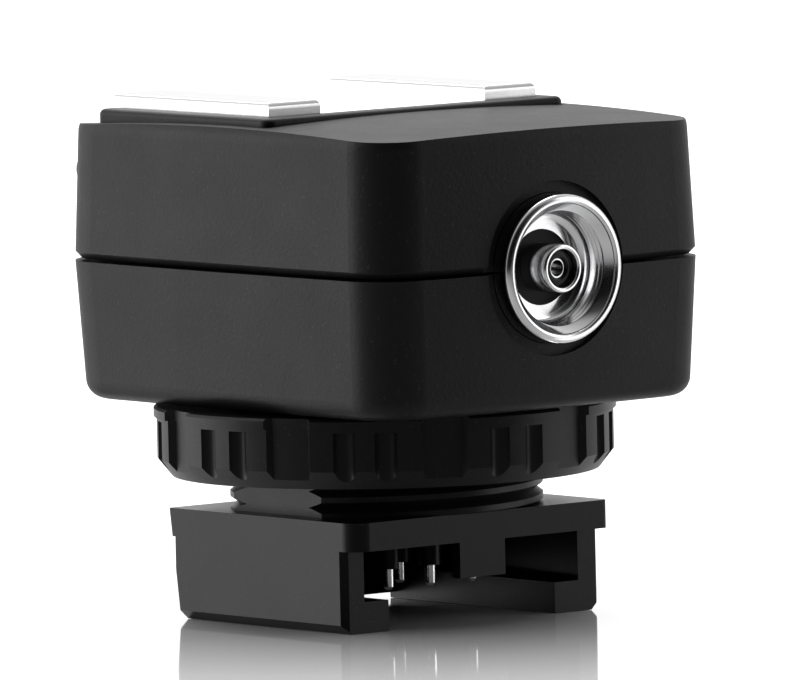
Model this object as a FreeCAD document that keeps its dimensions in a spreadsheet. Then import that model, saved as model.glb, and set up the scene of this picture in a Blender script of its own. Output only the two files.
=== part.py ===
"""Hot-shoe flash trigger: a parametric FreeCAD document of its sub-parts.

Frame: millimetres, +Z up. The origin is on the axis of the threaded neck, level with the
underside of the foot. The sync terminal looks along -Y, and a flash slides into the shoe on
top from +Y.
"""
import FreeCAD, Part
import math
import os
import Sketcher

DOC = FreeCAD.newDocument("flash_trigger")
SHEET = DOC.addObject("Spreadsheet::Sheet", "dimensions")
SUB_PARTS = []

DIMENSIONS = {
    # foot: a channel that slides over the rails of a camera's shoe
    "foot_half_width": 10.03,
    "foot_plate_front": 9.05,
    "foot_rear": 8.75,
    "foot_height": 6.8,
    "foot_plate_thickness": 1.74,
    "foot_wall_setback": 1.1,
    "foot_left_corner_radius": 1.2,
    "foot_right_corner_radius": 0.35,
    "foot_left_edge_chamfer": 0.4,
    "foot_right_edge_chamfer": 0.15,
    "foot_rear_chamfer": 0.5,
    "foot_bottom_chamfer": 0.55,
    "foot_cavity_half_width": 8.45,
    "foot_lip_thickness": 1.9,
    "foot_gap_half_width": 6.575,
    "foot_rear_wall": 1.5,
    "foot_rear_wall_lift": 0.4,
    "foot_rear_lean": 0.9,
    "tongue_half_width": 1.78,
    "tongue_drop": 2.18,
    "tongue_thickness": 0.8,
    # contact pins in the foot
    "pin_row_front": 4.0,
    "pin_rear_offset": 1.1,
    "pin_spacing": 3.3,
    "pin_radius": 0.33,
    "pin_tip_height": 2.0,
    "pin_collar_radius": 0.5,
    "pin_clearance": 0.06,
    "pin_collar_bottom": 5.8,
    "pin_collar_thickness": 0.4,
    "pin_spring_length": 2.6,
    "pin_spring_radius": 0.46,
    "carrier_half_width": 4.2,
    "carrier_front": 4.9,
    "carrier_rear": 0.1,
    "carrier_top": 9.5,
    "carrier_clearance": 0.05,
    "nozzle_radius": 0.66,
    "nozzle_bottom": 3.3,
    "wire_radius": 0.35,
    # neck and locking ring
    "neck_crest_radius": 9.57,
    "neck_root_radius": 9.1,
    "neck_flat": 8.6,
    "neck_bore_radius": 6.6,
    "neck_top": 13.4,
    "neck_spigot_radius": 8.0,
    "thread_pitch": 1.0,
    "ring_bottom": 8.9,
    "ring_top": 13.2,
    "ring_bore_radius": 9.65,
    "ring_grip_radius": 13.97,
    "ring_smooth_radius": 13.55,
    "ring_lip_radius": 14.14,
    "ring_lip_height": 0.65,
    "ring_bottom_radius": 13.1,
    "ring_bevel_height": 1.1,
    "grip_count": 9,
    "grip_half_angle": 11.5,
    "grip_wall_angle": 3.6,
    "ring_seam_step": 0.06,
    "groove_offset_angle": 5.2,
    "groove_radius": 0.72,
    "groove_depth": 0.5,
    "grip_top_gap": 0.2,
    "grip_phase": 25.5,
    "washer_radius": 11.7,
    "washer_thickness": 0.6,
    "running_clearance": 0.08,
    # housing shells
    "body_half_width": 13.1,
    "body_half_depth": 15.9,
    "body_side_bulge": 0.3,
    "body_front_bulge": 0.8,
    "front_corner_radius": 3.4,
    "rear_corner_radius": 4.5,
    "body_bottom": 13.4,
    "body_bottom_radius": 1.2,
    "parting_height": 21.9,
    "parting_gap": 0.15,
    "parting_chamfer": 0.4,
    "body_top": 31.2,
    "body_top_radius": 1.5,
    "crown_height": 31.0,
    "crown_radius": 238,
    "upper_draft": 2.0,
    "lower_draft": 2.8,
    "wall_thickness": 1.7,
    "floor_thickness": 1.6,
    "inner_corner_cut": 3.0,
    "roof_underside": 26.9,
    "front_roof_underside": 29.2,
    "front_room_half_width": 9.2,
    "front_room_margin": 0.3,
    "alignment_lip_height": 0.8,
    "alignment_lip_width": 0.6,
    "alignment_lip_clearance": 0.1,
    "post_x": 10.0,
    "post_y": 12.0,
    "post_radius": 1.7,
    "case_screw_radius": 0.8,
    "case_screw_head_radius": 1.4,
    "case_screw_head_height": 0.9,
    "case_screw_seat": 2.0,
    "case_screw_length": 11.0,
    # accessory shoe on top
    "frame_half_width": 11.8,
    "frame_front": 3.8,
    "frame_rear": 12.9,
    "frame_top": 31.2,
    "frame_seat": 29.35,
    "frame_clearance": 0.05,
    "frame_edge_radius": 0.35,
    "shoe_half_width": 10.55,
    "shoe_front": 2.4,
    "shoe_rear": 12.8,
    "shoe_top": 32.1,
    "shoe_floor": 29.0,
    "shoe_floor_thickness": 0.7,
    "shoe_wall_inner": 9.35,
    "shoe_flange_thickness": 1.0,
    "shoe_gap_half_width": 6.5,
    "shoe_edge_radius": 0.45,
    "shoe_end_wall": 0.8,
    "entry_half_width": 11.85,
    "contact_block_half_width": 5.2,
    "contact_block_front": 0.2,
    "contact_block_rear": 10.8,
    "contact_block_bottom": 26.3,
    "shoe_contact_y": 5.5,
    "shoe_contact_radius": 1.15,
    "small_contact_radius": 0.7,
    "small_contact_x": 3.4,
    "small_contact_y": 2.4,
    "contact_stand": 0.4,
    "shoe_screw_x": 7.6,
    "shoe_screw_front": 0.6,
    "shoe_screw_rear": 10.6,
    "shoe_screw_radius": 0.7,
    "shoe_screw_head_radius": 1.3,
    "leaf_inner": 8.0,
    "leaf_width": 1.0,
    "leaf_thickness": 0.2,
    "leaf_rise": 0.35,
    # sync terminal
    "sync_height": 22.0,
    "sync_collar_radius": 4.55,
    "sync_recess_radius": 5.3,
    "sync_recess_depth": 0.6,
    "sync_stand": 0.8,
    "sync_rim_inner_radius": 3.95,
    "sync_thread_radius": 3.5,
    "sync_thread_depth": 1.75,
    "sync_rim_depth": 0.5,
    "sync_floor_depth": 2.3,
    "sync_base_radius": 2.3,
    "sync_length": 4.4,
    "sync_tube_radius": 1.475,
    "sync_tube_bore": 1.15,
    "sync_tube_setback": 0.25,
    "sync_insulator_setback": 0.7,
    "sync_contact_radius": 0.75,
    "sync_contact_bore": 0.5,
    "sync_nut_radius": 5.6,
    "sync_nut_thickness": 1.4,
    # test button
    "button_x": -7.0,
    "button_height": 27.2,
    "button_half_width": 3.3,
    "button_half_height": 1.2,
    "button_front": 17.15,
    "button_inner": 14.65,
    "button_clearance": 0.06,
    "button_pocket": 13.95,
    "button_edge_radius": 0.5,
    "button_tab_half_width": 1.15,
    "button_tab_bottom": 24.4,
    "button_tab_top": 26.84,
    "button_tab_inner": 13.4,
    "button_tab_thickness": 0.8,
    "switch_rear": 10.2,
    "switch_front": 12.0,
    "plunger_radius": 0.6,
    # circuit board
    "board_bottom": 17.0,
    "board_thickness": 1.0,
    "board_half_width": 11.0,
    "board_waist": 7.8,
    "board_shoulder": 9.8,
    "board_half_depth": 12.4,
    "pillar_x": 9.9,
    "pillar_y": 7.2,
    "pillar_radius": 1.15,
    "board_screw_radius": 0.55,
    "board_screw_head_radius": 1.0,
    "board_screw_head_height": 0.6,
    "clamp_radius": 9.4,
    "clamp_thickness": 1.0,
    "clamp_screw_circle": 7.3,
    "clamp_screw_radius": 0.4,
    "clamp_screw_head_radius": 0.85,
    "foot_screw_x": 6.65,
    "foot_screw_y": 3.85,
    "foot_screw_radius": 0.7,
    "foot_screw_head_radius": 1.25,
    "foot_screw_length": 5.0,
}


class Size:
    """A length that carries its value now and the sheet expression that binds it."""

    def __init__(self, value, text):
        self.value = value
        self.text = text

    def __add__(self, other):
        other = as_size(other)
        return Size(self.value + other.value, f"({self.text} + {other.text})")

    def __radd__(self, other):
        return as_size(other) + self

    def __sub__(self, other):
        other = as_size(other)
        return Size(self.value - other.value, f"({self.text} - {other.text})")

    def __rsub__(self, other):
        return as_size(other) - self

    def __mul__(self, other):
        other = as_size(other)
        return Size(self.value * other.value, f"({self.text} * {other.text})")

    def __rmul__(self, other):
        return as_size(other) * self

    def __truediv__(self, other):
        other = as_size(other)
        return Size(self.value / other.value, f"({self.text} / {other.text})")

    def __rtruediv__(self, other):
        return as_size(other) / self

    def __neg__(self):
        return Size(-self.value, f"(-1 * {self.text})")


def as_size(number):
    """A plain number as a Size, or a Size unchanged."""
    if isinstance(number, Size):
        return number
    return Size(float(number), repr(float(number)))


def cosine(degrees):
    return Size(math.cos(math.radians(degrees.value)), f"cos({degrees.text})")


def sine(degrees):
    return Size(math.sin(math.radians(degrees.value)), f"sin({degrees.text})")


class Dimensions:
    """Named driving dimensions: dim.foot_height is the Size of that cell."""

    def __init__(self, sheet, values):
        for row, (alias, value) in enumerate(values.items(), start=1):
            sheet.set(f"A{row}", alias)
            sheet.set(f"B{row}", str(value))
            sheet.setAlias(f"B{row}", alias)
            setattr(self, alias, Size(float(value), f"{sheet.Name}.{alias}"))


dim = Dimensions(SHEET, DIMENSIONS)
DOC.recompute()


# ---- binding, sketching and feature helpers ----

def bind(item, path, size):
    """Tie one property of an object to the sheet."""
    item.setExpression(path, as_size(size).text)


def new_body(name):
    body = DOC.addObject("PartDesign::Body", name)
    body.Label = name
    SUB_PARTS.append(body)
    return body


def new_sketch(body, name, plane="XY_Plane", offset=0):
    """A sketch on one of the body's own origin planes, moved along the plane's normal."""
    support = next(item for item in body.Origin.OriginFeatures if item.Role == plane)
    sketch = body.newObject("Sketcher::SketchObject", name)
    sketch.AttachmentSupport = (support, [""])
    sketch.MapMode = "FlatFace"
    bind(sketch, "AttachmentOffset.Base.z", offset)
    return sketch


def bind_constraint(sketch, name, constraint, size):
    index = sketch.addConstraint(constraint)
    sketch.renameConstraint(index, name)
    bind(sketch, f"Constraints.{name}", size)


def bind_point(sketch, geometry, position, x, y):
    """Fix one point of the sketch at (x, y) from the sketch's origin."""
    for kind, size in (("DistanceX", as_size(x)), ("DistanceY", as_size(y))):
        name = f"{kind[-1].lower()}{geometry}_{position}"
        constraint = Sketcher.Constraint(kind, -1, 1, geometry, position, size.value)
        bind_constraint(sketch, name, constraint, size)


def add_circle(sketch, x, y, radius):
    x, y, radius = as_size(x), as_size(y), as_size(radius)
    centre = FreeCAD.Vector(x.value, y.value, 0)
    index = sketch.addGeometry(Part.Circle(centre, FreeCAD.Vector(0, 0, 1), radius.value))
    bind_point(sketch, index, 3, x, y)
    constraint = Sketcher.Constraint("Radius", index, radius.value)
    bind_constraint(sketch, f"radius{index}", constraint, radius)


def arc_geometry(start, end, radius, turn):
    """A short arc from start to end; turn 1 runs anticlockwise about its centre."""
    chord = end - start
    middle = (start + end) * 0.5
    rise = math.sqrt(radius ** 2 - (chord.Length / 2) ** 2)
    side = FreeCAD.Vector(-chord.y, chord.x, 0).normalize()
    centre = middle + side * (rise * turn)
    first, last = (start, end) if turn > 0 else (end, start)
    first_angle = math.atan2(first.y - centre.y, first.x - centre.x)
    last_angle = math.atan2(last.y - centre.y, last.x - centre.x)
    circle = Part.Circle(centre, FreeCAD.Vector(0, 0, 1), radius)
    return Part.ArcOfCircle(circle, first_angle, last_angle)


def add_outline(sketch, vertices):
    """A closed outline of (x, y) or (x, y, radius, turn) vertices.

    A vertex with a radius starts an arc to the next vertex: turn is 1 for anticlockwise and
    -1 for clockwise. Any other vertex starts a straight line.
    """
    points = [(as_size(vertex[0]), as_size(vertex[1])) for vertex in vertices]
    edges = []
    for number, vertex in enumerate(vertices):
        start = FreeCAD.Vector(points[number][0].value, points[number][1].value, 0)
        after = points[(number + 1) % len(points)]
        end = FreeCAD.Vector(after[0].value, after[1].value, 0)
        if len(vertex) == 2:
            index = sketch.addGeometry(Part.LineSegment(start, end))
            edges.append((index, 1, 2))
            continue
        radius, turn = as_size(vertex[2]), vertex[3]
        index = sketch.addGeometry(arc_geometry(start, end, radius.value, turn))
        edges.append((index, 1, 2) if turn > 0 else (index, 2, 1))
        constraint = Sketcher.Constraint("Radius", index, radius.value)
        bind_constraint(sketch, f"radius{index}", constraint, radius)
    for number, (index, first, _) in enumerate(edges):
        before = edges[number - 1]
        sketch.addConstraint(Sketcher.Constraint("Coincident", before[0], before[2], index, first))
        bind_point(sketch, index, first, *points[number])


def add_rectangle(sketch, left, right, bottom, top):
    add_outline(sketch, [(left, bottom), (right, bottom), (right, top), (left, top)])


def finish_feature(body, feature, before=None):
    """Make the feature the body's tip, recompute, and stop if it failed or cut nothing."""
    body.Tip = feature
    DOC.recompute()
    if "Invalid" in feature.State or "Error" in feature.State:
        raise RuntimeError(f"{feature.Name} failed on {body.Label}")
    if before is not None and body.Shape.Volume >= before:
        raise RuntimeError(f"{feature.Name} cuts nothing from {body.Label}")
    return feature


def pad(body, sketch, length, reverse=False, taper=None):
    feature = body.newObject("PartDesign::Pad", "pad_" + sketch.Name)
    feature.Profile = sketch
    feature.Reversed = reverse
    bind(feature, "Length", length)
    if taper is not None:
        bind(feature, "TaperAngle", taper)
    return finish_feature(body, feature)


def pocket(body, sketch, length, reverse=False):
    """Cut the sketch into the body, and make sure that something was cut."""
    before = body.Shape.Volume
    feature = body.newObject("PartDesign::Pocket", "pocket_" + sketch.Name)
    feature.Profile = sketch
    feature.Reversed = reverse
    bind(feature, "Length", length)
    return finish_feature(body, feature, before)


def polar(body, feature, count):
    """Repeat a feature round the body's Z axis, as equal steps of a full turn."""
    pattern = body.newObject("PartDesign::PolarPattern", "pattern_" + feature.Name)
    axis = next(item for item in body.Origin.OriginFeatures if item.Role == "Z_Axis")
    pattern.Originals = [feature]
    pattern.Axis = (axis, [""])
    pattern.Angle = 360
    bind(pattern, "Occurrences", count)
    return finish_feature(body, pattern)


def revolve(body, sketch, kind="PartDesign::Revolution"):
    """Turn a sketch on the XZ plane round the body's Z axis; Groove cuts and is checked."""
    before = body.Shape.Volume if kind.endswith("Groove") else None
    feature = body.newObject(kind, "turned_" + sketch.Name)
    feature.Profile = sketch
    feature.ReferenceAxis = (sketch, ["V_Axis"])
    feature.Angle = 360
    return finish_feature(body, feature, before)


def dress(body, kind, chosen, size):
    """Fillet or chamfer the edges of the body that chosen(edge) picks."""
    base = body.Tip
    names = [f"Edge{number}" for number, edge in enumerate(base.Shape.Edges, start=1)
             if chosen(edge)]
    if not names:
        raise RuntimeError(f"no edge to dress on {body.Label}")
    feature = body.newObject("PartDesign::" + kind, f"{kind.lower()}_{base.Name}")
    feature.Base = (base, names)
    bind(feature, "Radius" if kind == "Fillet" else "Size", size)
    return finish_feature(body, feature)


def flat_at(height):
    """Picks the edges that lie level at this height."""
    def chosen(edge):
        box = edge.BoundBox
        return abs(box.ZMin - height.value) < 1e-3 and abs(box.ZMax - height.value) < 1e-3
    return chosen


def upright(edge):
    """Picks the edges that climb steeply."""
    box = edge.BoundBox
    return box.ZLength > 3 * max(box.XLength, box.YLength) and box.ZLength > 0.5


def place(item, x=0, y=0, z=0, axis=(0, 0, 1), degrees=0):
    """Give an object its Placement, with each coordinate bound to the sheet."""
    item.Placement = FreeCAD.Placement(
        FreeCAD.Vector(as_size(x).value, as_size(y).value, as_size(z).value),
        FreeCAD.Rotation(FreeCAD.Vector(*axis), degrees))
    for letter, size in (("x", x), ("y", y), ("z", z)):
        bind(item, f"Placement.Base.{letter}", size)


def cylinder(name, radius, height, x=0, y=0, z=0):
    item = DOC.addObject("Part::Cylinder", name)
    bind(item, "Radius", radius)
    bind(item, "Height", height)
    place(item, x, y, z)
    return item


def lying_cylinder(name, radius, front, rear, x, z):
    """A cylinder whose axis runs along +Y from front to rear."""
    item = cylinder(name, radius, as_size(rear) - front)
    place(item, x, front, z, axis=(1, 0, 0), degrees=-90)
    return item


def box(name, left, right, front, rear, bottom, top):
    item = DOC.addObject("Part::Box", name)
    bind(item, "Length", as_size(right) - left)
    bind(item, "Width", as_size(rear) - front)
    bind(item, "Height", as_size(top) - bottom)
    place(item, left, front, bottom)
    return item


def fuse(name, items):
    joined = DOC.addObject("Part::MultiFuse", name)
    joined.Shapes = items
    return joined


def gather(name, items):
    """Keep separate solids of one kind together in a single sub-part."""
    group = DOC.addObject("Part::Compound", name)
    group.Label = name
    group.Links = items
    SUB_PARTS.append(group)
    return group


def cut(name, base, tool):
    result = DOC.addObject("Part::Cut", name)
    result.Base = base
    result.Tool = tool
    return result


def four_corners(x, y):
    return [(x, y), (-x, y), (-x, -y), (x, -y)]


# ---- foot and contact pins ----

def build_foot():
    """The channel foot: a top plate, two side walls with inward lips, and a rear wall."""
    body = new_body("foot_block")
    ceiling = dim.foot_height - dim.foot_plate_thickness
    wall_front = -(dim.foot_plate_front - dim.foot_wall_setback)
    base = new_sketch(body, "foot_walls")
    add_rectangle(base, -dim.foot_half_width, dim.foot_half_width, wall_front, dim.foot_rear)
    pad(body, base, dim.foot_height)

    def rear_corner(edge):
        return upright(edge) and edge.BoundBox.Center.y > 0

    def left_front(edge):
        return upright(edge) and edge.BoundBox.Center.y < 0 and edge.BoundBox.Center.x < 0

    def right_front(edge):
        return upright(edge) and edge.BoundBox.Center.y < 0 and edge.BoundBox.Center.x > 0

    def outer_bottom(edge):
        behind_front = edge.BoundBox.Center.y > wall_front.value + 0.01
        return flat_at(as_size(0))(edge) and behind_front

    dress(body, "Chamfer", rear_corner, dim.foot_rear_chamfer)
    dress(body, "Chamfer", outer_bottom, dim.foot_bottom_chamfer)
    dress(body, "Chamfer", left_front, dim.foot_left_edge_chamfer)
    dress(body, "Chamfer", right_front, dim.foot_right_edge_chamfer)
    plate = new_sketch(body, "foot_plate", offset=ceiling)
    add_rectangle(plate, -dim.foot_half_width, dim.foot_half_width,
                  -dim.foot_plate_front, dim.foot_rear)
    pad(body, plate, dim.foot_plate_thickness)

    def plate_front(edge):
        return abs(edge.BoundBox.YMin + dim.foot_plate_front.value) < 0.01

    dress(body, "Fillet", lambda edge: left_front(edge) and plate_front(edge),
          dim.foot_left_corner_radius)
    dress(body, "Fillet", lambda edge: right_front(edge) and plate_front(edge),
          dim.foot_right_corner_radius)
    channel = new_sketch(body, "foot_channel", "XZ_Plane", dim.foot_plate_front + 1)
    inside, gap = dim.foot_cavity_half_width, dim.foot_gap_half_width
    lip = dim.foot_lip_thickness
    add_outline(channel, [(-gap, -1), (gap, -1), (gap, lip), (inside, lip),
                          (inside, ceiling), (-inside, ceiling), (-inside, lip), (-gap, lip)])
    cavity_length = dim.foot_plate_front + 1 + dim.foot_rear - dim.foot_rear_wall
    pocket(body, channel, cavity_length)
    window = new_sketch(body, "rear_window", "XZ_Plane", 0)
    add_rectangle(window, -gap, gap, -1, dim.foot_rear_wall_lift)
    pocket(body, window, dim.foot_rear + 1)
    side = dim.foot_half_width + 1
    lean = new_sketch(body, "rear_lean", "YZ_Plane", -side)
    add_outline(lean, [(dim.foot_rear - dim.foot_rear_lean, 0), (dim.foot_rear, dim.foot_height),
                       (dim.foot_rear + 1, dim.foot_height), (dim.foot_rear + 1, -1),
                       (dim.foot_rear - dim.foot_rear_lean, -1)])
    pocket(body, lean, side * 2, reverse=True)
    tongue = new_sketch(body, "front_tongue", "XZ_Plane", dim.foot_plate_front)
    add_rectangle(tongue, -dim.tongue_half_width, dim.tongue_half_width,
                  ceiling - dim.tongue_drop, ceiling + 0.5)
    pad(body, tongue, dim.tongue_thickness, reverse=True)
    opening = new_sketch(body, "carrier_opening", offset=dim.foot_height)
    room = dim.carrier_clearance
    add_rectangle(opening, -dim.carrier_half_width - room, dim.carrier_half_width + room,
                  -dim.carrier_front - room, dim.carrier_rear + room)
    pocket(body, opening, dim.foot_plate_thickness + 1)
    holes = new_sketch(body, "foot_screw_holes", offset=dim.foot_height)
    for x, y in four_corners(dim.foot_screw_x, dim.foot_screw_y):
        add_circle(holes, x, y, dim.foot_screw_radius)
    pocket(body, holes, dim.foot_plate_thickness + 1)
    seats = new_sketch(body, "foot_screw_seats", offset=ceiling)
    for x, y in four_corners(dim.foot_screw_x, dim.foot_screw_y):
        add_circle(seats, x, y, dim.foot_screw_head_radius + room)
    pocket(body, seats, dim.foot_plate_thickness / 2, reverse=True)
    place(body)


def pin_positions():
    """Three contacts in a row across the foot, and one behind the middle one."""
    row = -dim.pin_row_front
    return [("contact_pin_left", -dim.pin_spacing, row),
            ("contact_pin_middle", as_size(0), row),
            ("contact_pin_right", dim.pin_spacing, row),
            ("contact_pin_rear", as_size(0), -dim.pin_rear_offset)]


def build_pin_carrier():
    """The insulating block in the neck that guides the pins and holds their springs."""
    body = new_body("pin_carrier")
    ceiling = dim.foot_height - dim.foot_plate_thickness
    block = new_sketch(body, "carrier_block", offset=ceiling)
    add_rectangle(block, -dim.carrier_half_width, dim.carrier_half_width,
                  -dim.carrier_front, dim.carrier_rear)
    pad(body, block, dim.carrier_top - ceiling)
    nozzles = new_sketch(body, "pin_nozzles", offset=dim.nozzle_bottom)
    for _, x, y in pin_positions():
        add_circle(nozzles, x, y, dim.nozzle_radius)
    pad(body, nozzles, ceiling - dim.nozzle_bottom)
    guides = new_sketch(body, "pin_guides", offset=dim.nozzle_bottom)
    for _, x, y in pin_positions():
        add_circle(guides, x, y, dim.pin_radius + dim.pin_clearance)
    pocket(body, guides, dim.pin_collar_bottom - dim.nozzle_bottom, reverse=True)
    bores = new_sketch(body, "spring_bores", offset=dim.pin_collar_bottom)
    for _, x, y in pin_positions():
        add_circle(bores, x, y, dim.pin_collar_radius + dim.pin_clearance)
    pocket(body, bores, dim.pin_collar_thickness + dim.pin_spring_length, reverse=True)
    place(body)


def build_contact_pin(name, x, y):
    """One sprung contact: a round-nosed pin with a collar that its spring pushes on."""
    body = new_body(name)
    profile = new_sketch(body, name + "_profile", "XZ_Plane")
    radius = dim.pin_radius
    collar_top = dim.pin_collar_bottom + dim.pin_collar_thickness
    add_outline(profile, [(0, dim.pin_tip_height),
                          (radius * 0.6, dim.pin_tip_height),
                          (radius, dim.pin_tip_height + radius * 0.6),
                          (radius, dim.pin_collar_bottom),
                          (dim.pin_collar_radius, dim.pin_collar_bottom),
                          (dim.pin_collar_radius, collar_top),
                          (0, collar_top)])
    revolve(body, profile)
    place(body, x, y, 0)


def build_pin_spring(name, x, y):
    """The pin's coil spring, as the tube that its closely wound turns fill."""
    body = new_body(name)
    bottom = dim.pin_collar_bottom + dim.pin_collar_thickness
    rings = new_sketch(body, name + "_section", offset=bottom)
    add_circle(rings, 0, 0, dim.pin_spring_radius)
    add_circle(rings, 0, 0, dim.pin_spring_radius / 2)
    pad(body, rings, dim.pin_spring_length)
    place(body, x, y, 0)


def build_signal_wires():
    """A wire from each spring up to the circuit board."""
    wires = [cylinder(name + "_wire", dim.wire_radius, dim.board_bottom - dim.carrier_top,
                      x, y, dim.carrier_top)
             for name, x, y in pin_positions()]
    gather("signal_wires", wires)


def build_foot_screws():
    """Four screws from inside the foot up into the neck."""
    ceiling = dim.foot_height - dim.foot_plate_thickness
    seat = dim.foot_plate_thickness / 2
    screws = []
    for number, (x, y) in enumerate(four_corners(dim.foot_screw_x, dim.foot_screw_y)):
        head = cylinder(f"foot_screw_head_{number}", dim.foot_screw_head_radius, seat - 0.1,
                        x, y, ceiling + 0.1)
        shank = cylinder(f"foot_screw_shank_{number}", dim.foot_screw_radius * 0.93,
                         dim.foot_screw_length, x, y, ceiling + seat - 0.05)
        screws.append(fuse(f"foot_screw_{number}", [head, shank]))
    gather("foot_screws", screws)


# ---- neck, locking ring and pressure washer ----

def build_neck():
    """The threaded neck: a right-hand thread with two flats, a bore and a top spigot."""
    body = new_body("threaded_neck")
    profile = new_sketch(body, "neck_profile", "XZ_Plane")
    spigot_top = dim.neck_top + dim.floor_thickness
    add_outline(profile, [(dim.neck_bore_radius, dim.foot_height),
                          (dim.neck_crest_radius, dim.foot_height),
                          (dim.neck_crest_radius, dim.neck_top),
                          (dim.neck_spigot_radius, dim.neck_top),
                          (dim.neck_spigot_radius, spigot_top),
                          (dim.neck_bore_radius, spigot_top)])
    revolve(body, profile)
    flats = new_sketch(body, "neck_flats", offset=dim.neck_top)
    for side in (-1, 1):
        near, far = dim.neck_flat * side, (dim.neck_crest_radius + 1) * side
        left, right = (near, far) if side > 0 else (far, near)
        add_rectangle(flats, left, right, -dim.neck_crest_radius, dim.neck_crest_radius)
    pocket(body, flats, dim.neck_top - dim.foot_height)
    lower = new_sketch(body, "neck_lower_pilots", offset=dim.foot_height)
    for x, y in four_corners(dim.foot_screw_x, dim.foot_screw_y):
        add_circle(lower, x, y, dim.foot_screw_radius)
    pocket(body, lower, dim.foot_screw_length, reverse=True)
    upper = new_sketch(body, "neck_upper_pilots", offset=spigot_top)
    for x, y in clamp_screw_positions():
        add_circle(upper, x, y, dim.clamp_screw_radius * 1.1)
    pocket(body, upper, dim.foot_screw_length * 0.7)
    cut_thread(body)
    place(body)


def cut_thread(body):
    """Cut the V groove of the thread as one helix that runs out of both ends."""
    start = dim.foot_height - dim.thread_pitch
    groove = new_sketch(body, "thread_groove", "XZ_Plane")
    outside = dim.neck_crest_radius + 0.1
    half = dim.thread_pitch * 0.4
    add_outline(groove, [(dim.neck_root_radius, start), (outside, start - half),
                         (outside, start + half)])
    before = body.Shape.Volume
    helix = body.newObject("PartDesign::SubtractiveHelix", "thread")
    helix.Profile = groove
    helix.ReferenceAxis = (groove, ["V_Axis"])
    helix.Mode = "pitch-height-angle"
    bind(helix, "Pitch", dim.thread_pitch)
    bind(helix, "Height", dim.neck_top - dim.foot_height + dim.thread_pitch * 2)
    finish_feature(body, helix, before)


def build_ring():
    """The locking ring: nine grip blocks with two finger grooves each and a plain lip."""
    body = new_body("lock_ring")
    profile = new_sketch(body, "ring_profile", "XZ_Plane")
    lip_bottom = dim.ring_top - dim.ring_lip_height
    add_outline(profile, [(dim.ring_bore_radius, dim.ring_bottom),
                          (dim.ring_bottom_radius, dim.ring_bottom),
                          (dim.ring_grip_radius, dim.ring_bottom + dim.ring_bevel_height),
                          (dim.ring_grip_radius, lip_bottom),
                          (dim.ring_lip_radius, lip_bottom),
                          (dim.ring_lip_radius, dim.ring_top - 0.15),
                          (dim.ring_lip_radius - 0.15, dim.ring_top),
                          (dim.ring_bore_radius, dim.ring_top)])
    revolve(body, profile)
    step = 360 / dim.grip_count
    middle = dim.grip_phase + step / 2
    inner_half = step / 2 - dim.grip_half_angle - dim.grip_wall_angle
    outer_half = step / 2 - dim.grip_half_angle
    outside = dim.ring_lip_radius + 1
    face_height = lip_bottom - dim.ring_bottom

    def cut_between_blocks(name, inner, bottom, height):
        corners = [(inner, middle - inner_half), (outside, middle - outer_half),
                   (outside, middle + outer_half), (inner, middle + inner_half)]
        points = [(radius * cosine(angle), radius * sine(angle)) for radius, angle in corners]
        sketch = new_sketch(body, name, offset=bottom)
        add_outline(sketch, [points[0], (*points[1], outside, 1), points[2],
                             (*points[3], inner, -1)])
        polar(body, pocket(body, sketch, height, reverse=True), dim.grip_count)

    cut_between_blocks("smooth_face", dim.ring_smooth_radius, dim.ring_bottom, face_height)
    cut_between_blocks("smooth_lip", dim.ring_smooth_radius + dim.ring_seam_step, lip_bottom,
                       dim.ring_lip_height)
    grooves = new_sketch(body, "grip_grooves", offset=dim.ring_bottom)
    centre = dim.ring_grip_radius + dim.groove_radius - dim.groove_depth
    for side in (-1, 1):
        angle = dim.grip_phase + dim.groove_offset_angle * side
        add_circle(grooves, centre * cosine(angle), centre * sine(angle), dim.groove_radius)
    polar(body, pocket(body, grooves, face_height - dim.grip_top_gap, reverse=True),
          dim.grip_count)
    recess = new_sketch(body, "washer_recess", offset=dim.ring_bottom)
    add_circle(recess, 0, 0, dim.washer_radius + dim.running_clearance)
    pocket(body, recess, dim.washer_thickness + dim.running_clearance, reverse=True)
    place(body)


def build_washer():
    """The pressure washer: it rides in the ring, and its flats stop it turning."""
    body = new_body("pressure_washer")
    section = new_sketch(body, "washer_section", offset=dim.ring_bottom)
    add_circle(section, 0, 0, dim.washer_radius)
    bore = dim.neck_crest_radius + dim.running_clearance
    flat = dim.neck_flat + dim.running_clearance
    half = Size(math.sqrt(bore.value ** 2 - flat.value ** 2),
                f"sqrt({bore.text} ^ 2 - {flat.text} ^ 2)")
    add_outline(section, [(flat, -half), (flat, half, bore, 1),
                          (-flat, half), (-flat, -half, bore, 1)])
    pad(body, section, dim.washer_thickness)
    place(body)


def clamp_screw_positions():
    diagonal = dim.clamp_screw_circle * cosine(as_size(45))
    return four_corners(diagonal, diagonal)


def build_neck_clamp():
    """The plate on the housing's floor that clamps it to the neck."""
    body = new_body("neck_clamp")
    floor = dim.body_bottom + dim.floor_thickness
    section = new_sketch(body, "clamp_section", offset=floor)
    add_circle(section, 0, 0, dim.clamp_radius)
    add_circle(section, 0, 0, dim.neck_bore_radius * 0.9)
    for x, y in clamp_screw_positions():
        add_circle(section, x, y, dim.clamp_screw_radius * 1.15)
    pad(body, section, dim.clamp_thickness)
    place(body)
    top = floor + dim.clamp_thickness
    screws = []
    for number, (x, y) in enumerate(clamp_screw_positions()):
        head = cylinder(f"clamp_screw_head_{number}", dim.clamp_screw_head_radius, 0.5, x, y, top)
        shank = cylinder(f"clamp_screw_shank_{number}", dim.clamp_screw_radius, 4,
                         x, y, top - 3.9)
        screws.append(fuse(f"clamp_screw_{number}", [head, shank]))
    gather("clamp_screws", screws)


# ---- housing ----

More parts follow.
